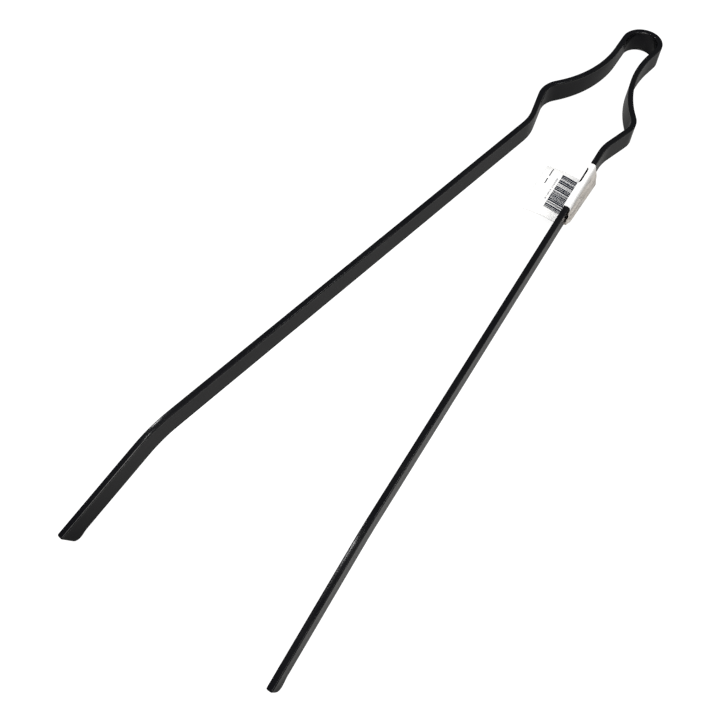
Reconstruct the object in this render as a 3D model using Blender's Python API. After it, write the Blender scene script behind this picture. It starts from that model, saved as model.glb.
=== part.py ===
"""Aquascaping tweezers: one flat spring-steel strip bent into an omega bow, two wavy
finger grips, two long diverging arms and two toes that drop at the tips, dipped in
black plastic, with a paper label folded round one arm.

Every length is in metres and every angle in degrees.  The strip is laid out in its own
plane first: x runs from the bow to the tips, the left arm is at -y, the right arm at +y,
and z is across the strip's width.  The whole thing is then turned a little so that it
stands on the bow's back edge and on both tips, the way it lies on a table.
"""
import math
import bpy
import bmesh
import numpy as np
from mathutils import Matrix, Vector

# ---------------------------------------------------------------- driving dimensions
STRIP_WIDTH = 0.0156        # across the coated strip (stands upright on the table)
STRIP_THICK = 0.0037        # through the coated strip
COAT_WALL = 0.00080         # plastic skin
SKIN_GAP = 0.00030          # between the steel and its skin
CORNER_R = 0.00060          # rounding along the coated strip's four long edges
CAVITY_CORNER_R = 0.00020   # rounding inside the skin
CORE_CORNER_R = 0.00025     # broken edge of the steel

# bending table of each side, from the middle of the bow outwards.
# ("arc", radius, angle): a positive angle turns outwards, a negative one inwards.
LEFT_BENDS = (
    ("arc", 0.01261, -95.9),    # half of the bow
    ("line", 0.01483),          # flank of the bow
    ("arc", 0.07722, 41.3),     # long sweep out into the grip
    ("line", 0.00276),
    ("arc", 0.01740, -52.4),    # bulge for the fingers
    ("line", 0.01711),
    ("arc", 0.03441, 23.3),     # pinch before the arm
    ("line", 0.29700),          # straight arm
)
RIGHT_BENDS = (
    ("arc", 0.01138, -95.1),
    ("line", 0.00855),
    ("arc", 0.07746, 45.5),
    ("line", 0.00255),
    ("arc", 0.01382, -52.8),
    ("line", 0.01731),
    ("arc", 0.03412, 19.4),
    ("line", 0.28283),
)
# each toe: bend radius, angle inwards, angle downwards (edgewise), straight length, how far
# the drip at its tip stands out to each side at the bottom, rounding of its lower corner
LEFT_TOE = (0.06220, 1.35, 20.7, 0.06110, 0.00045, 0.0031)
RIGHT_TOE = (0.06220, 1.35, 16.95, 0.07860, 0.00110, 0.0066)

TIP_HEEL = 0.00110          # how far the skin swells below the strip at the tip
TIP_HEEL_LENGTH = 0.0095    # length of that swelling
TIP_TOP_R = 0.00160         # rounding of the tip's upper corner
TIP_EDGE_R = 0.00085        # rounding of the tip through its thickness

FLEX_GAP = 0.00060          # slit at each flexing line, between bow and arm

# paper label, folded round the right arm and stuck to itself as a flag
LABEL_START = 0.0124        # from the start of the straight arm
LABEL_WIDTH = 0.0402        # along the arm
LABEL_PLY = 0.00030
LABEL_OUTER = 0.0051        # loop: from the arm's middle plane to the outer bottom fold
LABEL_SHOULDER_R = 0.0016   # loop: rounding over the arm's outer top edge
LABEL_SHOULDER = 0.00095    # loop: from the arm's middle plane to that rounding's centre
LABEL_INNER = 0.00248       # loop: from the arm's middle plane to the inner side
LABEL_TOP = 0.00855         # loop: above the arm's centre line
LABEL_BOTTOM = 0.00930      # loop: below the arm's centre line
LABEL_FOLD_R = 0.0012
FLAG_THICK = 0.00045        # two plies stuck together
FLAG_LENGTH = 0.0262        # beyond the loop, towards the other arm
FLAG_RISE = 1.2             # degrees the flag climbs away from the arm; low enough
                            # for the other arm to pass over it when closing

ARC_STEP = 6.0              # degrees between sections on a bend

# ---------------------------------------------------------------- clean scene
for ob in list(bpy.data.objects):
    bpy.data.objects.remove(ob, do_unlink=True)

parts = bpy.data.collections.new("aquascaping_tweezers")
bpy.context.scene.collection.children.link(parts)


def principled(name, color, roughness, metallic=0.0):
    mat = bpy.data.materials.new(name)
    mat.use_nodes = True
    shader = mat.node_tree.nodes["Principled BSDF"]
    shader.inputs["Base Color"].default_value = (*color, 1.0)
    shader.inputs["Roughness"].default_value = roughness
    shader.inputs["Metallic"].default_value = metallic
    mat.diffuse_color = (*color, 1.0)
    return mat


# ---------------------------------------------------------------- the strip's path
class Station:
    """A place on the strip: centre, direction along it, direction across its width."""

    def __init__(self, s, point, along, across):
        self.s, self.point, self.along, self.across = s, point, along, across
        self.dent = 0.0


def rotate(vector, axis, angle):
    return Matrix.Rotation(angle, 3, axis) @ vector


def side_path(bends, toe, side, fine=1.0):
    """Sections of one side from the middle of the bow to the tip; side is -1 or +1."""
    point, along = Vector((0, 0, 0)), Vector((0, side, 0))
    across = Vector((0, 0, 1))
    s = 0.0
    path = [Station(s, point.copy(), along.copy(), across.copy())]

    def bend(axis, radius, angle, steps):
        nonlocal point, along, across, s
        step = angle / steps
        for _ in range(steps):
            mid = rotate(along, axis, step / 2)
            chord = 2 * radius * math.sin(abs(step) / 2)
            point = point + mid * chord
            along = rotate(along, axis, step)
            across = rotate(across, axis, step)
            s += radius * abs(step)
            path.append(Station(s, point.copy(), along.copy(), across.copy()))

    def straight(length, steps):
        nonlocal point, s
        for _ in range(steps):
            point = point + along * (length / steps)
            s += length / steps
            path.append(Station(s, point.copy(), along.copy(), across.copy()))

    for item in bends:
        if item[0] == "arc":
            _, radius, angle = item
            steps = max(2, math.ceil(abs(angle) / (ARC_STEP * fine)))
            bend(Vector((0, 0, 1)), radius, math.radians(angle) * side, steps)
        else:
            straight(item[1], 1 if item[1] < 0.05 else 4)

    radius, inwards, down, length = toe[:4]
    outward = across.cross(along) * side
    # one bend about an axis that mixes the edgewise drop with a slight turn inwards
    turn = (-math.radians(inwards) * side) * across + (math.radians(down) * side) * outward
    total = turn.length
    bend(turn.normalized(), radius, total, max(3, math.ceil(math.degrees(total) / 4)))
    straight(length - TIP_HEEL_LENGTH, 2)
    before = TIP_HEEL_LENGTH
    for left in (0.0090, 0.0075, 0.0060, 0.0046, 0.0034, 0.0024, 0.0016, 0.0010,
                 0.0006, 0.0003, 0.0001, 0.0):
        point = point + along * (before - left)
        s += before - left
        before = left
        path.append(Station(s, point.copy(), along.copy(), across.copy()))
    return path


def cut_path(path, start, end):
    """The sections between two lengths along a path, with new ones at both ends."""
    def between(a, b, s):
        k = (s - a.s) / (b.s - a.s)
        along = a.along.lerp(b.along, k).normalized()
        across = a.across.lerp(b.across, k).normalized()
        # on a bend the chord is bowed, so the point is lifted onto the arc
        angle = a.along.angle(b.along)
        point = a.point.lerp(b.point, k)
        if angle > 1e-6:
            radius = (b.s - a.s) / angle
            lift = radius * (math.cos(angle * (k - 0.5)) - math.cos(angle / 2))
            centre_side = (b.along - a.along).normalized()
            point = point - centre_side * lift
        return Station(s, point, along, across)

    out = []
    for a, b in zip(path, path[1:]):
        if a.s < start < b.s:
            out.append(between(a, b, start))
        if start - 1e-9 <= a.s <= end + 1e-9:
            out.append(a)
        if a.s < end < b.s:
            out.append(between(a, b, end))
    if path[-1].s <= end + 1e-9:
        out.append(path[-1])
    return out


def section(station, half_up, half_down, half_thick, bead, radius, steps):
    """A rounded rectangle at a station, wider at the bottom by a bead on each side:
    points run once round, seen along the strip."""
    normal = station.across.cross(station.along)
    radius = min(radius, half_thick * 0.98, (half_up + half_down) * 0.49)
    corners = ((half_thick, half_up, 0), (-half_thick, half_up, 90),
               (-half_thick - bead, -half_down, 180), (half_thick + bead, -half_down, 270))
    ring = []
    for t, u, first in corners:
        ct = t - math.copysign(radius, t)
        cu = u - math.copysign(radius, u)
        for i in range(steps + 1):
            a = math.radians(first + 90 * i / steps)
            ring.append(station.point + normal * (ct + radius * math.cos(a))
                        + station.across * (cu + radius * math.sin(a)))
    return ring


def round_off(distance, radius):
    """How far a rounded corner has pulled in, this far from the end."""
    if distance >= radius:
        return 0.0
    return radius - math.sqrt(max(radius * radius - (radius - distance) ** 2, 0.0))


def tip_sizes(distance, inset, toe):
    """Half sizes of the coated section this far from the tip, less an inset."""
    bead, bottom_r = toe[4:]
    drip = 0.0
    if distance < TIP_HEEL_LENGTH:
        k = 1 - distance / TIP_HEEL_LENGTH
        drip = 3 * k * k - 2 * k ** 3
    up = STRIP_WIDTH / 2 - round_off(distance, TIP_TOP_R)
    down = STRIP_WIDTH / 2 + TIP_HEEL * drip - round_off(distance, bottom_r)
    thick = STRIP_THICK / 2 - round_off(distance, TIP_EDGE_R)
    return up - inset, down - inset, thick - inset, bead * drip


def loft(bm, rings, close_start=True, close_end=True, flip=False):
    """Skin rings of equal count; returns their vertices."""
    verts = [[bm.verts.new(p) for p in ring] for ring in rings]
    count = len(rings[0])
    for a, b in zip(verts, verts[1:]):
        for i in range(count):
            j = (i + 1) % count
            face = (a[i], a[j], b[j], b[i])
            bm.faces.new(face[::-1] if flip else face)
    if close_start:
        bm.faces.new(verts[0] if flip else verts[0][::-1])
    if close_end:
        bm.faces.new(verts[-1][::-1] if flip else verts[-1])
    return verts


def bridge(bm, outer, inner):
    """The flat rim between an outer and an inner ring of equal count."""
    count = len(outer)
    for i in range(count):
        j = (i + 1) % count
        bm.faces.new((outer[i], outer[j], inner[j], inner[i]))


def finish_object(bm, name, material, parent, origin):
    bmesh.ops.recalc_face_normals(bm, faces=bm.faces)
    bmesh.ops.translate(bm, verts=bm.verts, vec=-Vector(origin))
    mesh = bpy.data.meshes.new(name)
    bm.to_mesh(mesh)
    bm.free()
    mesh.materials.append(material)
    ob = bpy.data.objects.new(name, mesh)
    parts.objects.link(ob)
    ob.parent = parent
    return ob


def make_core(name, path, tip, material, parent, origin):
    """The steel strip itself, square cut, with its edges just broken."""
    inset = COAT_WALL + SKIN_GAP
    stations = path
    if tip:
        last = path[-1].s - inset
        stations = [st for st in cut_path(path, path[0].s, last)
                    if not (last - 0.0095 < st.s < last - 1e-7)]
    rings = [section(st, STRIP_WIDTH / 2 - inset, STRIP_WIDTH / 2 - inset,
                     STRIP_THICK / 2 - inset, 0.0, CORE_CORNER_R, 1) for st in stations]
    if tip:
        # the steel's own corners are snipped, so they stay inside the rounded skin
        end = stations[-1]
        back = cut_path(path, path[0].s, end.s - 0.0034)[-1]
        rings[-1:] = [
            section(back, STRIP_WIDTH / 2 - inset, STRIP_WIDTH / 2 - inset,
                    STRIP_THICK / 2 - inset, 0.0, CORE_CORNER_R, 1),
            section(end, STRIP_WIDTH / 2 - inset - 0.0016, STRIP_WIDTH / 2 - inset - 0.0034,
                    STRIP_THICK / 2 - inset - 0.0001, 0.0, CORE_CORNER_R, 1)]
    bm = bmesh.new()
    loft(bm, rings)
    return finish_object(bm, name, material, parent, origin)


def make_skin(name, path, tip, material, parent, origin, toe=None):
    """The plastic dipped over the strip: open where it meets the next piece,
    closed and swollen at a tip."""
    total = path[-1].s if tip else None

    def sizes(st, inset):
        if tip:
            return tip_sizes(total - st.s, inset, toe)
        return (STRIP_WIDTH / 2 - inset, STRIP_WIDTH / 2 - inset, STRIP_THICK / 2 - inset,
                0.0)

    outer = [section(st, *sizes(st, 0.0), CORNER_R, 3) for st in path]
    if tip:
        inner_path = cut_path(path, path[0].s, total - COAT_WALL)
        inner_path = [st for st in inner_path
                      if not (total - 0.0095 < st.s < total - COAT_WALL - 1e-7)]
        back = cut_path(path, path[0].s, total - 0.0036)[-1]
        inner_path.insert(len(inner_path) - 1, back)
        inner = []
        for st in inner_path:
            pull_up = pull_down = 0.0
            if st is inner_path[-1]:
                pull_up, pull_down = 0.0012, 0.0028
            inner.append(section(st, STRIP_WIDTH / 2 - COAT_WALL - pull_up,
                                 STRIP_WIDTH / 2 - COAT_WALL - pull_down,
                                 STRIP_THICK / 2 - COAT_WALL, 0.0, CAVITY_CORNER_R, 3))
    else:
        inner = [section(st, *sizes(st, COAT_WALL), CAVITY_CORNER_R, 3) for st in path]
    bm = bmesh.new()
    out = loft(bm, outer, close_start=False, close_end=tip)
    inn = loft(bm, inner, close_start=False, close_end=tip, flip=True)
    bridge(bm, out[0], inn[0])
    if not tip:
        bridge(bm, out[-1][::-1], inn[-1][::-1])
    return finish_object(bm, name, material, parent, origin)


# ---------------------------------------------------------------- lay the strip out
left = side_path(LEFT_BENDS, LEFT_TOE, -1)
right = side_path(RIGHT_BENDS, RIGHT_TOE, +1)
left_bow = LEFT_BENDS[0][1] * math.radians(abs(LEFT_BENDS[0][2]))
right_bow = RIGHT_BENDS[0][1] * math.radians(abs(RIGHT_BENDS[0][2]))
left_flex = cut_path(left, 0.0, left_bow)[-1]
right_flex = cut_path(right, 0.0, right_bow)[-1]


def turned(stations):
    """The same stations walked the other way."""
    return [Station(-st.s, st.point, -st.along, st.across) for st in reversed(stations)]


bow_path = turned(cut_path(left, 0.0, left_bow - FLEX_GAP / 2))[:-1] \
    + cut_path(right, 0.0, right_bow - FLEX_GAP / 2)
left_path = cut_path(left, left_bow + FLEX_GAP / 2, left[-1].s)
right_path = cut_path(right, right_bow + FLEX_GAP / 2, right[-1].s)


# ---------------------------------------------------------------- how it stands
def lowest(points, matrix):
    return min(points, key=lambda p: (matrix @ p).z)


def outline(stations, tip, toe=None):
    total = stations[-1].s
    pts = []
    for st in stations:
        size = tip_sizes(total - st.s, 0.0, toe) if tip else \
            (STRIP_WIDTH / 2, STRIP_WIDTH / 2, STRIP_THICK / 2, 0.0)
        pts += section(st, *size, CORNER_R, 3)
    return pts


bow_points = outline(bow_path, False)
left_points = outline(left_path, True, LEFT_TOE)
right_points = outline(right_path, True, RIGHT_TOE)
stand = Matrix.Identity(3)
for _ in range(12):
    a = lowest(bow_points, stand)
    b = lowest(left_points, stand)
    c = lowest(right_points, stand)
    up = (b - a).cross(c - a).normalized()
    if up.z < 0:
        up = -up
    # x stays in its own upright plane
    x = (Vector((1, 0, 0)) - up * up.x).normalized()
    y = up.cross(x)
    stand = Matrix((x, y, up))
every = np.array([tuple(stand @ p) for p in bow_points + left_points + right_points])
low, high = every.min(axis=0), every.max(axis=0)
shift = Vector((-(low[0] + high[0]) / 2, -(low[1] + high[1]) / 2, -low[2]))

frame = bpy.data.objects.new("strip_plane", None)
frame.matrix_world = Matrix.Translation(shift) @ stand.to_4x4()
parts.objects.link(frame)


def flex_empty(name, station):
    empty = bpy.data.objects.new(name, None)
    empty.location = station.point
    empty.parent = frame
    parts.objects.link(empty)
    return empty


left_hinge = flex_empty("left_flex_line", left_flex)
right_hinge = flex_empty("right_flex_line", right_flex)

steel = principled("spring_steel", (0.42, 0.43, 0.45), 0.32, 1.0)
black_bow = principled("black_skin_bow", (0.010, 0.010, 0.012), 0.22)
black_left = principled("black_skin_left", (0.010, 0.010, 0.012), 0.22)
black_right = principled("black_skin_right", (0.010, 0.010, 0.012), 0.22)
steel_left = principled("spring_steel_left", (0.42, 0.43, 0.45), 0.32, 1.0)
steel_right = principled("spring_steel_right", (0.42, 0.43, 0.45), 0.32, 1.0)
paper = principled("label_paper", (0.86, 0.85, 0.82), 0.7)

make_core("bow_spring_core", bow_path, False, steel, frame, (0, 0, 0))
make_skin("bow_skin", bow_path, False, black_bow, frame, (0, 0, 0))
make_core("left_arm_core", left_path, True, steel_left, left_hinge, left_flex.point)
make_skin("left_arm_skin", left_path, True, black_left, left_hinge, left_flex.point,
          LEFT_TOE)
make_core("right_arm_core", right_path, True, steel_right, right_hinge, right_flex.point)
make_skin("right_arm_skin", right_path, True, black_right, right_hinge, right_flex.point,
          RIGHT_TOE)


# ---------------------------------------------------------------- paper label
def fold_arc(cx, cy, radius, first, last, steps=4):
    return [(cx + radius * math.cos(math.radians(first + (last - first) * i / steps)),
             cy + radius * math.sin(math.radians(first + (last - first) * i / steps)))
            for i in range(steps + 1)]


def label_outline():
    """Outer outline of the loop with its flag, and the loop's hole.
    First coordinate towards the arm's outer side, second up."""
    r, ply = LABEL_FOLD_R, LABEL_PLY
    o, i, t, b = LABEL_OUTER, LABEL_INNER, LABEL_TOP, LABEL_BOTTOM
    # the outer side runs straight down from the shoulder to the bottom fold
    sx, sr = LABEL_SHOULDER, LABEL_SHOULDER_R
    dx, dz = sx - (o - r), (t - sr) - (-b + r)
    lean = math.degrees(math.atan2(dz, dx) - math.acos((r - sr) / math.hypot(dx, dz)))
    rise = math.radians(FLAG_RISE)
    run = FLAG_LENGTH
    flag_thick = FLAG_THICK
    outer = fold_arc(sx, t - sr, sr, lean, 90) + fold_arc(-i + r, t - r, r, 90, 180)
    # down the inner side, then out along the flag and back
    root_up = -b + flag_thick
    outer += [(-i, root_up + 0.0004), (-i - 0.0004, root_up)]
    outer += [(-i - run * math.cos(rise), root_up + run * math.sin(rise)),
              (-i - run * math.cos(rise) + flag_thick * math.sin(rise),
               root_up + run * math.sin(rise) - flag_thick * math.cos(rise))]
    outer += [(-i - 0.0002, -b)]
    outer += fold_arc(o - r, -b + r, r, 270, 360 + lean)
    q = r - ply
    hole = fold_arc(sx, t - sr, sr - ply, lean, 90) + fold_arc(-i + r, t - r, q, 90, 180) \
        + fold_arc(-i + r, -b + r, q, 180, 270) + fold_arc(o - r, -b + r, q, 270, 360 + lean)
    return outer, hole


arm_start = right[-1].s - (RIGHT_TOE[3] + RIGHT_TOE[0] * math.radians(
    math.hypot(RIGHT_TOE[1], RIGHT_TOE[2]))) - RIGHT_BENDS[-1][1]
middle = cut_path(right, 0.0, arm_start + LABEL_START + LABEL_WIDTH / 2)[-1]
curve = bpy.data.curves.new("label_profile", "CURVE")
curve.dimensions = "2D"
curve.fill_mode = "BOTH"
curve.extrude = LABEL_WIDTH / 2
for loop in label_outline():
    spline = curve.splines.new("POLY")
    spline.points.add(len(loop) - 1)
    for point, (u, v) in zip(spline.points, loop):
        point.co = (u, v, 0.0, 1.0)
    spline.use_cyclic_u = True
profile = bpy.data.objects.new("label_profile", curve)
parts.objects.link(profile)
outward = middle.across.cross(middle.along)
if outward.y < 0:
    outward = -outward
turn = Matrix((outward, middle.across, outward.cross(middle.across))).transposed()
place = Matrix.Translation(middle.point - right_flex.point) @ turn.to_4x4()
bpy.context.view_layer.update()
evaluated = profile.evaluated_get(bpy.context.evaluated_depsgraph_get())
mesh = bpy.data.meshes.new_from_object(evaluated)
mesh.name = "paper_label"
bm = bmesh.new()
bm.from_mesh(mesh)
bmesh.ops.remove_doubles(bm, verts=bm.verts, dist=0.000005)
bmesh.ops.transform(bm, matrix=place, verts=bm.verts)
bmesh.ops.recalc_face_normals(bm, faces=bm.faces)
bm.to_mesh(mesh)
bm.free()
mesh.materials.clear()
mesh.materials.append(paper)
label = bpy.data.objects.new("paper_label", mesh)
parts.objects.link(label)
label.parent = right_hinge
bpy.data.objects.remove(profile, do_unlink=True)
bpy.context.view_layer.update()
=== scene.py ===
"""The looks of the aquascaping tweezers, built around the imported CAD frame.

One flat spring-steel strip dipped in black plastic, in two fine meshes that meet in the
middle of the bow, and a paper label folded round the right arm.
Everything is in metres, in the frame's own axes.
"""
import math
import bpy
import numpy as np
from mathutils import Matrix, Vector, noise


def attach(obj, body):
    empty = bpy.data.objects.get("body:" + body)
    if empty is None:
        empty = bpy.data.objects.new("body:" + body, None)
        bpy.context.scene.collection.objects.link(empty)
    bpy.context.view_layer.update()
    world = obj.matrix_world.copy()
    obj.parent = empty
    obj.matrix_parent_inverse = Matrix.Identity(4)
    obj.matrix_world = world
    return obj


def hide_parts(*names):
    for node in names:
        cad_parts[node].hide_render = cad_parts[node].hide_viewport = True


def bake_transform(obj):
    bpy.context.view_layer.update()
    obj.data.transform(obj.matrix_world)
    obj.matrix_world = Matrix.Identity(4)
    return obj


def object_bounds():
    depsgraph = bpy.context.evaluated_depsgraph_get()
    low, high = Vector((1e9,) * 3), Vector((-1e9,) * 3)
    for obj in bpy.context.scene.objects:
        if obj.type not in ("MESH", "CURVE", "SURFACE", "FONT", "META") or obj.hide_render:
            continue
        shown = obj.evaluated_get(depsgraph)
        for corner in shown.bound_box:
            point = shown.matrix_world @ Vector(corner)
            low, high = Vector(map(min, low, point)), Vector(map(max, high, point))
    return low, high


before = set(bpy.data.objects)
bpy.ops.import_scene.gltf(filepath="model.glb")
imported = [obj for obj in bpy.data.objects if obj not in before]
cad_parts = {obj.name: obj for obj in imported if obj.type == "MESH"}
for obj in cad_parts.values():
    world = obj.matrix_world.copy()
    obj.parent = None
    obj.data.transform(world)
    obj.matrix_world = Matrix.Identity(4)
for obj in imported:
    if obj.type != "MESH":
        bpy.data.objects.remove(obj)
cad_low, cad_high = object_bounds()

# ------------------------------------------------------------------ the strip's bending table
STRIP_WIDTH = 0.0156
STRIP_THICK = 0.0037
CORNER_R = 0.00060
LEFT_BENDS = (
    ("arc", 0.01261, -95.9), ("line", 0.01483), ("arc", 0.07722, 41.3), ("line", 0.00276),
    ("arc", 0.01740, -52.4), ("line", 0.01711), ("arc", 0.03441, 23.3), ("line", 0.29700),
)
RIGHT_BENDS = (
    ("arc", 0.01138, -95.1), ("line", 0.00855), ("arc", 0.07746, 45.5), ("line", 0.00255),
    ("arc", 0.01382, -52.8), ("line", 0.01731), ("arc", 0.03412, 19.4), ("line", 0.28283),
)
LEFT_TOE = (0.06220, 1.35, 20.7, 0.06110, 0.00045, 0.0031)
RIGHT_TOE = (0.06220, 1.35, 16.95, 0.07860, 0.00110, 0.0066)
TIP_HEEL = 0.00110
TIP_HEEL_LENGTH = 0.0095
TIP_TOP_R = 0.00160
TIP_EDGE_R = 0.00085
BLUNT = 1.75                 # the drip's lower corner, rounder than the CAD's

# the strip's own plane (x from the bow to the tips, z across the width) in the frame
STAND = Matrix(((0.998753, 0.000135, -0.049920),
                (0.000000, 0.999996, 0.002695),
                (0.049920, -0.002692, 0.998749)))
SHIFT = Vector((-0.251747, -0.005606, 0.007853))
TO_FRAME = Matrix.Translation(SHIFT) @ STAND.to_4x4()


def in_frame(point):
    return TO_FRAME @ Vector(point)


# ------------------------------------------------------------------ small helpers
def new_object(name, mesh):
    ob = bpy.data.objects.new(name, mesh)
    bpy.context.scene.collection.objects.link(ob)
    return ob


def smooth(k):
    k = min(max(k, 0.0), 1.0)
    return k * k * (3 - 2 * k)


def wave(*co, scale=1.0, seed=0.0):
    """Smooth noise from -1 to 1 at a place given in metres; scale is its wavelength."""
    p = Vector((co[0], co[1] if len(co) > 1 else 0.0, co[2] if len(co) > 2 else 0.0)) / scale
    return noise.noise(p + Vector((seed * 7.31, seed * 3.17, seed * 5.73)))


# ------------------------------------------------------------------ node helper
class Nodes:
    def __init__(self, name):
        self.mat = bpy.data.materials.new(name)
        self.mat.use_nodes = True
        self.tree = self.mat.node_tree
        self.shader = self.tree.nodes["Principled BSDF"]

    def add(self, kind, **values):
        node = self.tree.nodes.new(kind)
        for key, value in values.items():
            if key in ("inputs",):
                for socket, v in value.items():
                    node.inputs[socket].default_value = v
            else:
                setattr(node, key, value)
        return node

    def link(self, a, b):
        self.tree.links.new(a, b)

    def attribute(self, name):
        node = self.add("ShaderNodeAttribute", attribute_name=name)
        return node

    def stretched(self, vector, scale):
        node = self.add("ShaderNodeMapping", inputs={"Scale": scale})
        self.link(vector, node.inputs["Vector"])
        return node.outputs["Vector"]

    def noise(self, vector, scale, detail=2.0, rough=0.5, distortion=0.0):
        node = self.add("ShaderNodeTexNoise",
                        inputs={"Scale": scale, "Detail": detail, "Roughness": rough,
                                "Distortion": distortion})
        self.link(vector, node.inputs["Vector"])
        return node.outputs["Fac"]

    def range(self, value, low, high, to_low=0.0, to_high=1.0):
        node = self.add("ShaderNodeMapRange",
                        inputs={"From Min": low, "From Max": high,
                                "To Min": to_low, "To Max": to_high})
        node.clamp = True
        self.link(value, node.inputs["Value"])
        return node.outputs["Result"]

    def math(self, operation, a, b):
        node = self.add("ShaderNodeMath", operation=operation)
        for socket, value in zip(node.inputs, (a, b)):
            if isinstance(value, (int, float)):
                socket.default_value = value
            else:
                self.link(value, socket)
        return node.outputs[0]

    def mix(self, factor, a, b):
        node = self.add("ShaderNodeMix", data_type="RGBA")
        self.link(factor, node.inputs[0])
        for socket, value in ((node.inputs[6], a), (node.inputs[7], b)):
            if isinstance(value, tuple):
                socket.default_value = (*value, 1.0)
            else:
                self.link(value, socket)
        return node.outputs[2]

    def bump(self, height, strength, distance, before=None):
        node = self.add("ShaderNodeBump", inputs={"Strength": strength, "Distance": distance})
        self.link(height, node.inputs["Height"])
        if before is not None:
            self.link(before, node.inputs["Normal"])
        return node.outputs["Normal"]

    def to(self, **sockets):
        for name, value in sockets.items():
            socket = self.shader.inputs[name.replace("_", " ")]
            if isinstance(value, (int, float, tuple)):
                socket.default_value = value
            else:
                self.link(value, socket)
        return self.mat


# ------------------------------------------------------------------ materials
def black_plastic():
    """Dipped black plastic: satin gloss, faint orange peel, flow lumps, handling scuffs,
    edges rubbed a little paler and duller."""
    n = Nodes("dipped_black_plastic")
    place = n.attribute("strip_place").outputs["Vector"]   # along, across, through, metres
    edge = n.attribute("edge").outputs["Fac"]
    tip = n.attribute("tip_near").outputs["Fac"]           # duller film towards the tips
    peel = n.noise(place, 520.0, 3.0, 0.55)
    lumps = n.noise(n.stretched(place, (90.0, 260.0, 260.0)), 1.0, 2.0, 0.5)
    scratch = n.noise(n.stretched(place, (55.0, 2600.0, 2600.0)), 1.0, 3.0, 0.6, 0.3)
    cross = n.noise(n.stretched(place, (1500.0, 130.0, 130.0)), 1.0, 2.0, 0.6, 0.6)
    patch = n.noise(place, 42.0, 4.0, 0.62)
    dust = n.noise(place, 1500.0, 2.0, 0.7)

    lines = n.math("MULTIPLY", n.range(scratch, 0.60, 0.72), n.range(patch, 0.46, 0.62))
    ticks = n.math("MULTIPLY", n.range(cross, 0.66, 0.74), n.range(patch, 0.52, 0.66))
    specks = n.range(dust, 0.72, 0.78)
    rub = n.math("MULTIPLY", edge, n.range(patch, 0.38, 0.66, 0.15, 1.0))

    color = n.mix(n.range(patch, 0.3, 0.7), (0.0034, 0.0034, 0.0046), (0.0062, 0.0062, 0.0070))
    color = n.mix(n.math("MULTIPLY", rub, 0.5), color, (0.016, 0.016, 0.017))
    wear = n.math("MAXIMUM", n.math("MULTIPLY", lines, 0.40), n.math("MULTIPLY", ticks, 0.30))
    wear = n.math("MAXIMUM", wear, n.math("MULTIPLY", specks, 0.35))
    color = n.mix(wear, color, (0.034, 0.034, 0.033))

    rough = n.range(patch, 0.25, 0.75, 0.11, 0.21)
    rough = n.math("ADD", rough, n.math("MULTIPLY", rub, 0.05))
    rough = n.math("ADD", rough, n.math("MULTIPLY", wear, 0.30))

    normal = n.bump(lumps, 0.11, 0.00022)
    normal = n.bump(peel, 0.035, 0.00005, normal)
    normal = n.bump(lines, 0.10, 0.00002, normal)
    return n.to(Base_Color=color, Roughness=rough, Normal=normal,
                IOR=1.46, Specular_IOR_Level=n.range(tip, 0.0, 1.0, 0.5, 0.12))


def spring_steel():
    n = Nodes("brushed_spring_steel")
    place = n.add("ShaderNodeTexCoord").outputs["Object"]
    grain = n.noise(n.stretched(place, (60.0, 1800.0, 1800.0)), 1.0, 3.0, 0.6)
    patch = n.noise(place, 55.0, 3.0, 0.55)
    color = n.mix(n.range(patch, 0.3, 0.7), (0.36, 0.37, 0.39), (0.50, 0.51, 0.53))
    rough = n.range(grain, 0.3, 0.7, 0.24, 0.42)
    return n.to(Base_Color=color, Roughness=rough, Normal=n.bump(grain, 0.2, 0.00002),
                Metallic=1.0)


def paper():
    """Label stock: white and slightly satin; its outer side carries a painted shade of warm grey and
    darker patches, both stronger towards its lower edge.
    """
    n = Nodes("label_paper")
    place = n.attribute("label_place").outputs["Vector"]   # along, round, metres
    # mask for the painted shade on the outer side of the loop, strongest towards its lower edge
    side = n.attribute("outer_shade_mask").outputs["Fac"]
    fibre = n.noise(n.stretched(place, (1400.0, 2600.0, 1400.0)), 1.0, 3.0, 0.6)
    cloud = n.noise(n.stretched(place, (110.0, 190.0, 110.0)), 1.0, 3.0, 0.55)
    patch_shape = n.noise(n.stretched(place, (150.0, 420.0, 150.0)), 1.0, 3.0, 0.6, 0.5)
    streak = n.noise(n.stretched(place, (60.0, 900.0, 60.0)), 1.0, 2.0, 0.5)
    blot = n.noise(n.stretched(place, (75.0, 240.0, 75.0)), 1.0, 2.0, 0.45)
    base = n.mix(n.range(cloud, 0.35, 0.65), (0.97, 0.967, 0.962), (0.935, 0.93, 0.92))
    # painted shade: the outer side turns warm grey, most towards its lower edge
    warm = n.mix(n.range(streak, 0.35, 0.65), (0.88, 0.82, 0.75), (0.76, 0.70, 0.635))
    color = n.mix(n.math("MULTIPLY", side, n.range(cloud, 0.25, 0.65, 0.55, 1.0)), base, warm)
    # darker blots and patches on the outer side, strongest towards its lower edge
    color = n.mix(n.math("MULTIPLY", side, n.range(blot, 0.57, 0.70, 0.0, 0.55)), color,
                  (0.47, 0.44, 0.41))
    low_dark_patches = n.math("MULTIPLY", n.math("MULTIPLY", side, side), n.range(patch_shape, 0.52, 0.67))
    color = n.mix(n.math("MULTIPLY", low_dark_patches, 0.66), color, (0.28, 0.26, 0.235))
    rough = n.range(cloud, 0.3, 0.7, 0.46, 0.62)
    normal = n.bump(cloud, 0.25, 0.00010)
    normal = n.bump(fibre, 0.20, 0.00003, normal)
    return n.to(Base_Color=color, Roughness=rough, Normal=normal)


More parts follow.
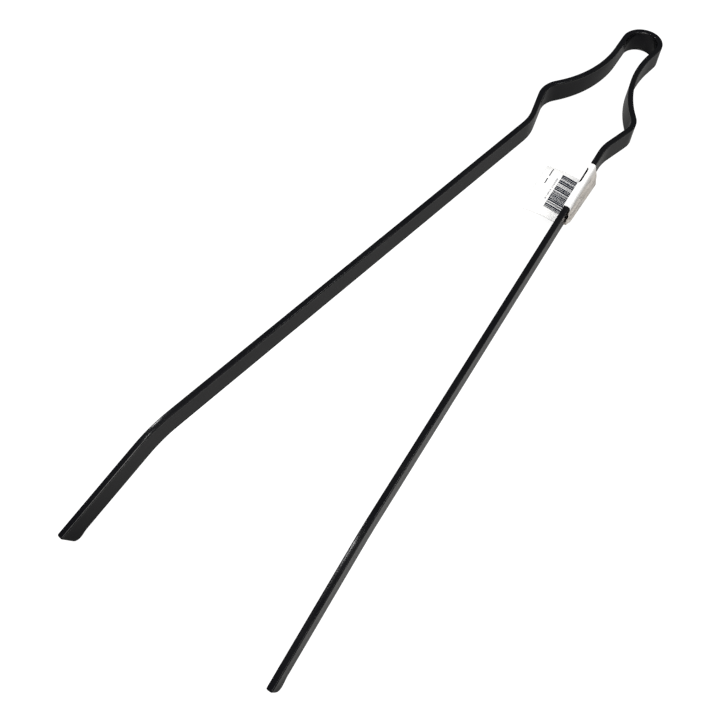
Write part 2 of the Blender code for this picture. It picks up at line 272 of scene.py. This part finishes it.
def print_ink(name, tone, patchy):
    """Thermal print on the label: not quite solid, with the print head's fine rows."""
    n = Nodes(name)
    place = n.attribute("label_place").outputs["Vector"]
    rows = n.noise(n.stretched(place, (900.0, 5200.0, 900.0)), 1.0, 2.0, 0.6)
    cloud = n.noise(place, 260.0, 3.0, 0.6)
    fade = n.math("MULTIPLY", n.range(rows, 0.42, 0.66), n.range(cloud, 0.35, 0.65, 0.35, 1.0))
    color = n.mix(n.math("MULTIPLY", fade, patchy), tone, (0.072, 0.082, 0.108))
    rough = n.range(cloud, 0.3, 0.7, 0.42, 0.55)
    return n.to(Base_Color=color, Roughness=rough, Normal=n.bump(rows, 0.12, 0.00002))


def floor_material():
    """Seamless pale sweep; it looks white to the camera, as an over-lit backdrop does."""
    n = Nodes("pale_sweep")
    place = n.add("ShaderNodeTexCoord").outputs["Object"]
    color = n.mix(n.noise(place, 900.0, 2.0, 0.5), (0.225, 0.225, 0.224), (0.235, 0.235, 0.234))
    n.to(Base_Color=color, Roughness=0.9, Specular_IOR_Level=0.0)
    glow = n.add("ShaderNodeEmission", inputs={"Color": (1.0, 1.0, 1.0, 1.0)})
    ray = n.add("ShaderNodeLightPath").outputs["Is Camera Ray"]
    n.link(n.math("MULTIPLY", ray, FLOOR_GLOW), glow.inputs["Strength"])
    both = n.add("ShaderNodeAddShader")
    n.link(n.shader.outputs[0], both.inputs[0])
    n.link(glow.outputs[0], both.inputs[1])
    n.link(both.outputs[0], n.tree.nodes["Material Output"].inputs["Surface"])
    return n.mat


# ------------------------------------------------------------------ the strip's path
class Station:
    __slots__ = ("s", "point", "along", "across")

    def __init__(self, s, point, along, across):
        self.s, self.point, self.along, self.across = s, point, along, across


def side_path(bends, toe, side):
    """Fine sections of one side from the middle of the bow to the tip."""
    point, along = Vector((0, 0, 0)), Vector((0, side, 0))
    across = Vector((0, 0, 1))
    s = 0.0
    path = [Station(s, point.copy(), along.copy(), across.copy())]

    def bend(axis, radius, angle, steps):
        nonlocal point, along, across, s
        step = angle / steps
        half, full = Matrix.Rotation(step / 2, 3, axis), Matrix.Rotation(step, 3, axis)
        for _ in range(steps):
            point = point + (half @ along) * (2 * radius * math.sin(abs(step) / 2))
            along = full @ along
            across = full @ across
            s += radius * abs(step)
            path.append(Station(s, point.copy(), along.copy(), across.copy()))

    def straight(length, steps):
        nonlocal point, s
        for _ in range(steps):
            point = point + along * (length / steps)
            s += length / steps
            path.append(Station(s, point.copy(), along.copy(), across.copy()))

    for item in bends:
        if item[0] == "arc":
            _, radius, angle = item
            length = radius * math.radians(abs(angle))
            steps = max(6, math.ceil(abs(angle) / 3.0), math.ceil(length / 0.0012))
            bend(Vector((0, 0, 1)), radius, math.radians(angle) * side, steps)
        else:
            straight(item[1], max(2, math.ceil(item[1] / 0.0022)))
    radius, inwards, down, length = toe[:4]
    outward = across.cross(along) * side
    turn = (-math.radians(inwards) * side) * across + (math.radians(down) * side) * outward
    total = turn.length
    bend(turn.normalized(), radius, total, 18)
    straight(length - TIP_HEEL_LENGTH, math.ceil((length - TIP_HEEL_LENGTH) / 0.0022))
    before = TIP_HEEL_LENGTH
    lefts = [TIP_HEEL_LENGTH - 0.0006 * i for i in range(1, 10)]
    lefts += [0.0036, 0.0033, 0.0029, 0.0025, 0.00215, 0.0018, 0.0015, 0.00122, 0.00098,
              0.00077, 0.00060, 0.00045, 0.00032, 0.00021, 0.00012, 0.00005, 0.0]
    for left in lefts:
        point = point + along * (before - left)
        s += before - left
        before = left
        path.append(Station(s, point.copy(), along.copy(), across.copy()))
    return path


def round_off(distance, radius):
    if distance >= radius:
        return 0.0
    return radius - math.sqrt(max(radius * radius - (radius - distance) ** 2, 0.0))


def tip_sizes(distance, toe):
    bead, bottom_r = toe[4:]
    drip = 0.0
    if distance < TIP_HEEL_LENGTH:
        k = 1 - distance / TIP_HEEL_LENGTH
        drip = 3 * k * k - 2 * k ** 3
    up = STRIP_WIDTH / 2 - round_off(distance, TIP_TOP_R)
    down = STRIP_WIDTH / 2 + TIP_HEEL * drip - round_off(distance, bottom_r * BLUNT)
    thick = STRIP_THICK / 2 - round_off(distance, TIP_EDGE_R)
    fade = 1 - round_off(distance, 0.0034) / 0.0034      # the drip itself is a rounded drop
    return up, down, thick, bead * drip * (0.25 + 0.75 * fade)


CORNER_STEPS = 7
CROWN = 0.00016              # the dip stands a little proud along the middle of each edge
LONG_SPLITS = (-0.86, -0.55, -0.2, 0.2, 0.55, 0.86)
SHORT_SPLITS = (-0.66, -0.33, 0.0, 0.33, 0.66)


def section(station, up, down, thick, bead, radius):
    """Points once round a rounded rectangle, wider at the bottom by a bead on each side:
    (place, outward direction, across, through, how much of an edge it is)."""
    normal = station.across.cross(station.along)
    radius = min(radius, thick * 0.98, (up + down) * 0.49)
    ring = []
    wide = thick + bead
    corners = ((thick, up, 0), (-thick, up, 90), (-wide, -down, 180), (wide, -down, 270))
    for index, (t, u, first) in enumerate(corners):
        ct, cu = t - math.copysign(radius, t), u - math.copysign(radius, u)
        for i in range(CORNER_STEPS + 1):
            a = math.radians(first + 90 * i / CORNER_STEPS)
            edge = math.sin(math.pi * i / CORNER_STEPS)
            ring.append((ct + radius * math.cos(a), cu + radius * math.sin(a),
                         math.cos(a), math.sin(a), edge))
        nt, nu, _ = corners[(index + 1) % 4]
        if index % 2 == 0:      # short side, top or bottom
            half = (thick if index == 0 else wide) - radius
            for q in (-0.93, *SHORT_SPLITS, 0.93):
                k = q if index == 2 else -q
                ring.append((half * k, u, 0.0, math.copysign(1, u), 0.0))
        else:                   # long side
            low, high = -down + radius, up - radius
            mid, half = (low + high) / 2, (high - low) / 2
            for q in (-0.985, *LONG_SPLITS, 0.985):
                k = -q if index == 1 else q
                sag = (1 - k) / 2                    # the drip hangs in the lower part
                flank = math.copysign(thick + bead * sag * sag * (3 - 2 * sag), t)
                ring.append((flank, mid + half * k, math.copysign(1, t), 0.0, 0.0))
    out = []
    for x, z, nx, nz, edge in ring:
        # lean the edge off towards its corners
        share = min(abs(x) / thick, 1.0)
        if abs(z) > (up if z > 0 else down) - radius - 1e-9:
            z -= math.copysign(min(CROWN, 0.3 * thick) * share * share, z)
        out.append((station.point + normal * x + station.across * z,
                    normal * nx + station.across * nz, z, x, edge))
    return out


def coating(s, across, through, seed):
    """How far the dipped skin lies below its fullest thickness here: slow waves along
    the strip, a slightly hollow flat, small runs."""
    hollow = 0.000045 * max(0.0, 1 - (across / 0.0068) ** 2) if abs(through) > 0.0014 else 0.0
    slow = 0.000055 * (0.5 + 0.5 * wave(s, across * 0.6, through, scale=0.021, seed=seed))
    fine = 0.000022 * (0.5 + 0.5 * wave(s, across, through, scale=0.0052, seed=seed + 3))
    return -(hollow + slow + fine)


def strip_mesh(name, path, toe, seed, mirrored):
    total = path[-1].s
    points, place, edges, near = [], [], [], []
    count = None
    for st in path:
        ring = section(st, *tip_sizes(total - st.s, toe), CORNER_R)
        count = len(ring)
        apex = smooth(st.s / 0.004)          # both halves meet exactly on the bow's middle
        for point, outward, across, through, edge in ring:
            offset = coating(st.s, across, through, seed) * apex
            offset += coating(0.0, across, abs(through), 1.0) * (1 - apex)
            points.append(in_frame(point + outward * offset))
            place.append((st.s + (0.7 if mirrored else 0.0), across, through))
            edges.append(edge)
            near.append(smooth(1 - (total - st.s) / 0.075))
    faces = []
    for j in range(len(path) - 1):
        for i in range(count):
            k = (i + 1) % count
            faces.append((j * count + i, j * count + k, (j + 1) * count + k, (j + 1) * count + i))
    first = tuple(range(count))[::-1]
    last = tuple((len(path) - 1) * count + i for i in range(count))
    faces += [first, last]
    mesh = bpy.data.meshes.new(name)
    mesh.from_pydata([tuple(p) for p in points], [], faces)
    mesh.update()
    # outward faces
    volume = 0.0
    for polygon in mesh.polygons:
        volume += polygon.center.dot(polygon.normal) * polygon.area
    if volume < 0:
        mesh.flip_normals()
    attribute = mesh.attributes.new("strip_place", "FLOAT_VECTOR", "POINT")
    attribute.data.foreach_set("vector", np.array(place, np.float32).ravel())
    attribute = mesh.attributes.new("edge", "FLOAT", "POINT")
    attribute.data.foreach_set("value", np.array(edges, np.float32))
    attribute = mesh.attributes.new("tip_near", "FLOAT", "POINT")
    attribute.data.foreach_set("value", np.array(near, np.float32))
    mesh.polygons.foreach_set("use_smooth", [True] * len(mesh.polygons))
    # the flat cap in the bow's middle is sharp-edged
    caps = {frozenset((a, b)) for face in (first, last) for a, b in zip(face, face[1:] + face[:1])}
    sharp = [frozenset(edge.vertices) in caps and edge.vertices[0] < count for edge in mesh.edges]
    attribute = mesh.attributes.new("sharp_edge", "BOOLEAN", "EDGE")
    attribute.data.foreach_set("value", sharp)
    return mesh


left = side_path(LEFT_BENDS, LEFT_TOE, -1)
right = side_path(RIGHT_BENDS, RIGHT_TOE, +1)
plastic = black_plastic()

left_strip = new_object("left_side_strip", strip_mesh("left_side_strip", left, LEFT_TOE, 2.0, False))
right_strip = new_object("right_side_strip", strip_mesh("right_side_strip", right, RIGHT_TOE, 9.0,
                                                   True))
for ob in (left_strip, right_strip):
    ob.data.materials.append(plastic)

# each strip's placement is baked into its mesh
for ob, arm, bends, side in ((left_strip, "left_arm", LEFT_BENDS, -1),
                             (right_strip, "right_arm", RIGHT_BENDS, +1)):
    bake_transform(ob)
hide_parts("left_arm_skin", "bow_skin")
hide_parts("right_arm_skin")

steel = spring_steel()
for name in ("bow_spring_core", "left_arm_core", "right_arm_core"):
    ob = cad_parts[name]
    ob.data.materials.clear()
    ob.data.materials.append(steel)

# ------------------------------------------------------------------ the paper label
LABEL_START = 0.0124
LABEL_LENGTH = 0.0404
PLY = 0.00017
BAR_SHEAR = 0.12             # the sheet was folded a little askew
MODULE = 0.000324
MODULES = 95
BAR_FROM, BAR_TO = 0.0010, 0.0143      # inwards from the arm's inner face
CODE_START = 0.01575 - LABEL_START     # along the label, where it leaves the loop

straight_s = sum(b[1] * math.radians(abs(b[2])) if b[0] == "arc" else b[1]
                 for b in RIGHT_BENDS[:-1])
root = min(right, key=lambda st: abs(st.s - straight_s))
arm_along = root.along.copy()
arm_up = root.across.copy()
arm_out = arm_up.cross(arm_along)
if arm_out.y < 0:
    arm_out = -arm_out


def bar_runs():
    """Generic stripes that stand in for a retail code: seeded widths in close and open
    groups, no real digits."""
    state, runs, at, dark = 20771, [], 0, True
    group, close = 9, True
    while at < MODULES:
        state = (state * 1103515245 + 12345) % 2147483648
        pick = (state >> 16) % 4
        if dark:
            width = (3, 4, 3, 2)[pick] if close else (1, 1, 2, 1)[pick]
        else:
            width = 1 if close else (2, 1, 1, 2)[pick]
        width = min(width, MODULES - at)
        runs.append((at, at + width, dark))
        at += width
        group -= width
        if group <= 0:
            close = not close
            group = (8, 11, 7, 9)[pick] if close else (5, 8, 6, 7)[pick]
        dark = not dark
    return runs


SPREAD = 0.20                # of a module: heat spreads every dark stripe a little
RUNS = [(a - SPREAD, b + SPREAD, True) if dark else (a + SPREAD, b - SPREAD, False)
        for a, b, dark in bar_runs()]


def stations_along():
    """Places along the label: every stripe's edge, and steps between the rest."""
    marks = {0.0, LABEL_LENGTH}
    for a, b, _ in RUNS:
        marks.add(CODE_START + a * MODULE)
        marks.add(CODE_START + b * MODULE)
    marks |= {0.0004, 0.0010, LABEL_LENGTH - 0.0004, LABEL_LENGTH - 0.0010}
    marks = sorted(marks)
    out = [marks[0]]
    for m in marks[1:]:
        gap = m - out[-1]
        if gap < 1e-7:
            continue
        pieces = max(1, math.ceil(gap / 0.00085))
        for i in range(pieces):
            out.append(out[-1] + (m - out[-1]) / (pieces - i))
    return out


def rounded(points, passes=3):
    """Corner cutting on an open run of points, ends kept."""
    for _ in range(passes):
        out = [points[0]]
        for a, b in zip(points, points[1:]):
            out.append((0.75 * a[0] + 0.25 * b[0], 0.75 * a[1] + 0.25 * b[1]))
            out.append((0.25 * a[0] + 0.75 * b[0], 0.25 * a[1] + 0.75 * b[1]))
        out.append(points[-1])
        points = out
    return points


def resample(points, count):
    lengths = [0.0]
    for a, b in zip(points, points[1:]):
        lengths.append(lengths[-1] + math.hypot(b[0] - a[0], b[1] - a[1]))
    out, i = [], 0
    for n in range(count):
        want = lengths[-1] * n / (count - 1)
        while i < len(points) - 2 and lengths[i + 1] < want:
            i += 1
        span = lengths[i + 1] - lengths[i] or 1.0
        k = (want - lengths[i]) / span
        out.append((points[i][0] + (points[i + 1][0] - points[i][0]) * k,
                    points[i][1] + (points[i + 1][1] - points[i][1]) * k))
    return out


FLAG_RUN = 0.0262
FLAG_RISE = math.radians(1.2)
FLAG_ZERO = 0.001575         # where the flag's lengths are counted from
HALF_THICK = STRIP_THICK / 2
FLAG_COLUMNS = [0.0006, BAR_FROM, 0.0017, 0.0027, 0.0040, 0.0055, 0.0070, 0.0085, 0.0100, 0.0115,
                0.0129, BAR_TO, 0.0149, 0.0155, 0.0165, 0.0170, 0.0184, 0.0199, 0.0213,
                0.0220, 0.0233, 0.0245, 0.0256, 0.0263]
# rows of stand-in print: (columns from, to, [(start, end) along the flag from its end])
BIG_DASHES = ((0.0145 - 0.0124, 0.0213 - 0.0124), (0.0234 - 0.0124, 0.0282 - 0.0124))
SMALL_DASHES = [(0.0084 + 0.0016 * i + (0.0005 if i > 5 else 0.0), 0.0084 + 0.0016 * i
                 + (0.0005 if i > 5 else 0.0) + (0.0009 if i % 3 else 0.0011)) for i in range(12)]


def flag_drop(v, a):
    """How far the flag sags below its straight line: free corners curl down."""
    near = max(0.0, (a - (LABEL_LENGTH - 0.007)) / 0.007)
    far = max(0.0, (0.006 - a) / 0.006)
    out = max(0.0, v / 0.0263)
    free = max(0.0, (v - 0.018) / 0.0083)
    return (0.0016 * near ** 2 * out + 0.0009 * far ** 2 * out + 0.0007 * free ** 2
            + 0.00018 * (0.5 + 0.5 * wave(a, v, scale=0.011, seed=4)))


def label_profile(k, a):
    """Centre line of the sheet at one place along the arm, from its free edge on top,
    round the arm, out along the flag, back, and up the inner side. k runs 0 to 1."""
    ply = PLY / 2
    lean_out = 0.00570 - 0.00150 * k - 0.0010 * smooth((k - 0.88) / 0.12)   # lower fold
    belly = 0.00405 + (0.00300 - 0.00405) * k             # outer wall half-way up
    shoulder = HALF_THICK + 0.00006 + 0.00035 * smooth((k - 0.75) / 0.25)
    lift = 0.00030 * smooth((k - 0.86) / 0.14)            # the near end stands off the arm
    dent = 0.00030 * wave(a, 0.0, scale=0.0085, seed=6)
    top = STRIP_WIDTH / 2 + ply + 0.00006
    gape = smooth((k - 0.08) / 0.07) * (1 - smooth((k - 0.41) / 0.09))
    seam = -HALF_THICK - 0.0001 + 0.00135 * gape
    loop = [(seam, top + 0.00002), (-0.0008, top + 0.00004 + lift * 0.8),
            (0.0004, top + 0.00006 + lift),
            (0.00140, top - 0.00004 + lift),
            (shoulder + 0.00025, top - 0.0009 + lift * 0.5),
            (shoulder + 0.00070, top - 0.0026),
            (belly - 0.00060 + dent, 0.00240),
            (belly + 0.00040 + dent, -0.00060),
            (lean_out - 0.00080 + dent * 0.6, -0.00380),
            (lean_out - 0.00025, -0.00640),
            (lean_out - 0.00005, -0.00800),
            (lean_out - 0.00030, -0.00885), (lean_out - 0.00090, -0.00918),
            (0.0024, -0.00928 - 0.0001 * k), (0.0006, -0.00925), (-0.0012, -0.00923),
            (-0.0022, -0.00922)]
    loop = resample(rounded(loop, 2), 46)

    def flag(v, level):
        o = -(FLAG_ZERO + v)
        run = max(0.0, v - 0.0006)
        z = -0.0093 + level + run * math.tan(FLAG_RISE) - flag_drop(v, a)
        return (o, max(z, -0.0141))

    low, high = 0.00008, 0.00037
    under = [flag(v, low) for v in FLAG_COLUMNS]
    over = [flag(v, high) for v in FLAG_COLUMNS]
    end_o, end_low, end_high = under[-1][0], under[-1][1], over[-1][1]
    mid = (end_low + end_high) / 2
    half = (end_high - end_low) / 2
    fold = [(end_o - half * math.sin(t), mid - half * math.cos(t))
            for t in (0.6, 1.2, 1.94, 2.54)]
    over = over[::-1]
    open_ = 0.00060 * gape
    face = -HALF_THICK
    inner = [over[-1], (face - 0.00037, -0.00885), (face - 0.00028, -0.0080),
             (face - 0.00018, -0.0050), (face - 0.00016 - 0.00006 * math.sin(9 * k), 0.0),
             (face - 0.00014, 0.0040), (face - 0.00013, 0.00640),
             (face - 0.00013, STRIP_WIDTH / 2 - 0.0002 - open_)]
    inner = resample(rounded(inner, 2), 17)[1:]
    return loop, under, fold, over, inner


def build_label():
    along = stations_along()
    rows_out, rows_in, place, outer_shade_mask = [], [], [], []
    counts = None
    for a in along:
        k = a / LABEL_LENGTH
        loop, under, fold, over, inner = label_profile(k, a)
        counts = tuple(map(len, (loop, under, fold, over, inner)))
        line = loop + under + fold + over + inner
        n = len(line)
        length = 0.0
        row_out, row_in, row_place, row_outer_shade = [], [], [], []
        for i, (o, z) in enumerate(line):
            before, after = line[max(i - 1, 0)], line[min(i + 1, n - 1)]
            dx, dz = after[0] - before[0], after[1] - before[1]
            size = math.hypot(dx, dz) or 1.0
            # left of the direction of travel is the outside: over the top it points up
            nx, nz = -dz / size, dx / size
            if i:
                length += math.hypot(o - line[i - 1][0], z - line[i - 1][1])
            v = max(0.0, -o - FLAG_ZERO) if counts[0] <= i < n - counts[4] else 0.0
            slide = -BAR_SHEAR * (min(v, 0.014) - 0.0065 * min(v / 0.004, 1.0))
            slide += 0.00022 * wave(z * 3, o * 3, scale=0.02, seed=8) * (1 if k in (0, 1) else 0.6)
            if i < counts[0]:     # the lower fold is cut back at the near end
                slide -= 0.0010 * smooth((k - 0.88) / 0.12) * smooth((-z - 0.0068) / 0.0018)
            base = root.point + arm_along * (LABEL_START + a + slide)
            outs = base + arm_out * (o + nx * PLY / 2) + arm_up * (z + nz * PLY / 2)
            ins = base + arm_out * (o - nx * PLY / 2) + arm_up * (z - nz * PLY / 2)
            row_out.append(in_frame(outs))
            row_in.append(in_frame(ins))
            row_place.append((a, length, 0.0))
            # the outer side of the loop gets the painted-shade mask, rising towards its lower edge
            if i < counts[0]:
                row_outer_shade.append(smooth((0.0072 - z) / 0.0055) if o > 0.0004 else 0.0)
            else:
                row_outer_shade.append(0.0)
        rows_out.append(row_out)
        rows_in.append(row_in)
        place.append(row_place)
        outer_shade_mask.append(row_outer_shade)
    m, n = len(along), len(rows_out[0])
    verts = [tuple(p) for row in rows_out for p in row] + [tuple(p) for row in rows_in for p in row]
    base_in = m * n

    def out_id(j, i):
        return j * n + i

    def in_id(j, i):
        return base_in + j * n + i

    over_first = counts[0] + counts[1] + counts[2]
    columns = FLAG_COLUMNS[::-1]

    def ink(j, i):
        """Which print, if any, covers the cell between stations j and profile points i."""
        at = i - over_first
        if not 0 <= at < len(columns) - 1:
            return 0
        v = (columns[at] + columns[at + 1]) / 2
        a = (along[j] + along[j + 1]) / 2
        if BAR_FROM < v < BAR_TO:
            step = (a - CODE_START) / MODULE
            for first, last, dark in RUNS:
                if first <= step < last:
                    return 1 if dark else 0
            return 0
        if 0.0213 < v < 0.0220 and any(p < a < q for p, q in BIG_DASHES):
            return 1
        if 0.0155 < v < 0.0165 and any(p < a < q for p, q in SMALL_DASHES):
            return 2
        return 0

    faces, slots = [], []
    for j in range(m - 1):
        for i in range(n - 1):
            faces.append((out_id(j, i), out_id(j + 1, i), out_id(j + 1, i + 1), out_id(j, i + 1)))
            slots.append(ink(j, i))
            faces.append((in_id(j, i), in_id(j, i + 1), in_id(j + 1, i + 1), in_id(j + 1, i)))
            slots.append(0)
        for i in (0, n - 1):
            face = (out_id(j, i), in_id(j, i), in_id(j + 1, i), out_id(j + 1, i))
            faces.append(face if i == 0 else face[::-1])
            slots.append(0)
    for i in range(n - 1):
        for j in (0, m - 1):
            face = (out_id(j, i), out_id(j, i + 1), in_id(j, i + 1), in_id(j, i))
            faces.append(face if j == 0 else face[::-1])
            slots.append(0)
    mesh = bpy.data.meshes.new("folded_paper_label")
    mesh.from_pydata(verts, [], faces)
    mesh.update()
    volume = sum(p.center.dot(p.normal) * p.area for p in mesh.polygons)
    if volume < 0:
        mesh.flip_normals()
    flat_place = [c for row in place for p in row for c in p]
    flat_outer_shade = [h for row in outer_shade_mask for h in row]
    attribute = mesh.attributes.new("label_place", "FLOAT_VECTOR", "POINT")
    attribute.data.foreach_set("vector", np.array(flat_place * 2, np.float32))
    attribute = mesh.attributes.new("outer_shade_mask", "FLOAT", "POINT")
    attribute.data.foreach_set("value", np.array(flat_outer_shade * 2, np.float32))
    mesh.polygons.foreach_set("use_smooth", [True] * len(mesh.polygons))
    mesh.polygons.foreach_set("material_index", slots)
    # the cut edges of the sheet are sharp
    border = set()
    for polygon, slot in zip(mesh.polygons, slots):
        vs = list(polygon.vertices)
        if len({v < base_in for v in vs}) == 2:
            border |= {frozenset((a, b)) for a, b in zip(vs, vs[1:] + vs[:1])
                       if (a < base_in) == (b < base_in)}
    attribute = mesh.attributes.new("sharp_edge", "BOOLEAN", "EDGE")
    attribute.data.foreach_set("value", [frozenset(e.vertices) in border for e in mesh.edges])
    mesh.materials.append(paper())
    mesh.materials.append(print_ink("label_print", (0.010, 0.013, 0.022), 0.6))
    mesh.materials.append(print_ink("label_print_small", (0.40, 0.40, 0.42), 0.6))
    return new_object("folded_paper_label", mesh)


label = build_label()
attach(label, "right_arm")
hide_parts("paper_label")

# ------------------------------------------------------------------ floor
FLOOR_GLOW = 0.92
floor_mesh = bpy.data.meshes.new("sweep")
edge_ = 6.0
floor_mesh.from_pydata([(-edge_, -edge_, 0), (edge_, -edge_, 0), (edge_, edge_, 0),
                        (-edge_, edge_, 0)], [], [(0, 1, 2, 3)])
floor = new_object("sweep", floor_mesh)
floor.location.z = cad_low.z - 0.00002
floor_mesh.materials.append(floor_material())

# ------------------------------------------------------------------ soft studio light
world = bpy.data.worlds.new("studio")
bpy.context.scene.world = world
world.use_nodes = True
tree = world.node_tree
background = tree.nodes["Background"]
background.inputs["Color"].default_value = (0.90, 0.95, 1.0, 1.0)
background.inputs["Strength"].default_value = 0.075
white = tree.nodes.new("ShaderNodeBackground")      # behind the tool: a lit white wall
white.inputs["Color"].default_value = (1.0, 1.0, 1.0, 1.0)
white.inputs["Strength"].default_value = 1.0
choose = tree.nodes.new("ShaderNodeMixShader")
tree.links.new(tree.nodes.new("ShaderNodeLightPath").outputs["Is Camera Ray"], choose.inputs[0])
tree.links.new(background.outputs[0], choose.inputs[1])
tree.links.new(white.outputs[0], choose.inputs[2])
tree.links.new(choose.outputs[0], tree.nodes["World Output"].inputs["Surface"])


def softbox(name, place, aim, size, power, color=(1.0, 1.0, 1.0)):
    light = bpy.data.lights.new(name, "AREA")
    light.shape = "RECTANGLE"
    light.size, light.size_y = size
    light.energy = power
    light.color = color
    ob = bpy.data.objects.new(name, light)
    ob.location = place
    ob.rotation_euler = (Vector(aim) - Vector(place)).to_track_quat("-Z", "Y").to_euler()
    bpy.context.scene.collection.objects.link(ob)
    ob.visible_camera = False
    return ob


softbox("key", (0.07, -1.24, 1.50), (0.13, -0.05, 0.0), (0.22, 0.22), 5.0)
overhead = softbox("overhead", (0.18, -0.02, 1.60), (0.08, 0.0, 0.0), (0.50, 0.50), 13.0)
overhead.visible_glossy = False
softbox("front_soft", (1.40, 0.90, 1.35), (0.0, 0.0, 0.0), (1.2, 1.2), 40.0, (1.0, 0.98, 0.95))
softbox("toe_glint", (0.505, -0.386, 1.42), (0.17, 0.06, 0.03), (0.14, 0.12), 1.7)
softbox("side_line", (-0.55, 0.62, 1.4), (0.0, 0.0, 0.0), (0.35, 0.25), 2.0)

# ------------------------------------------------------------------ camera
# placed in the strip's own plane, then carried into the frame
CAMERA = TO_FRAME @ Matrix.Translation((0.53659838, 0.15566222, 0.43104806)) @ Matrix((
    (-0.61593383, -0.67491498, 0.40634381),
    (0.78775600, -0.53296803, 0.30884553),
    (0.00812379, 0.51032818, 0.85994137))).to_4x4()
camera_data = bpy.data.cameras.new("camera")
camera_data.sensor_width = 36.0
camera_data.lens = 44.955
camera_data.clip_start = 0.01
camera_data.clip_end = 50.0
camera = bpy.data.objects.new("camera", camera_data)
camera.matrix_world = CAMERA
bpy.context.scene.collection.objects.link(camera)
bpy.context.scene.camera = camera
bpy.context.scene.view_settings.view_transform = "Standard"

# ------------------------------------------------------------------ a last update of the scene
bpy.context.view_layer.update()
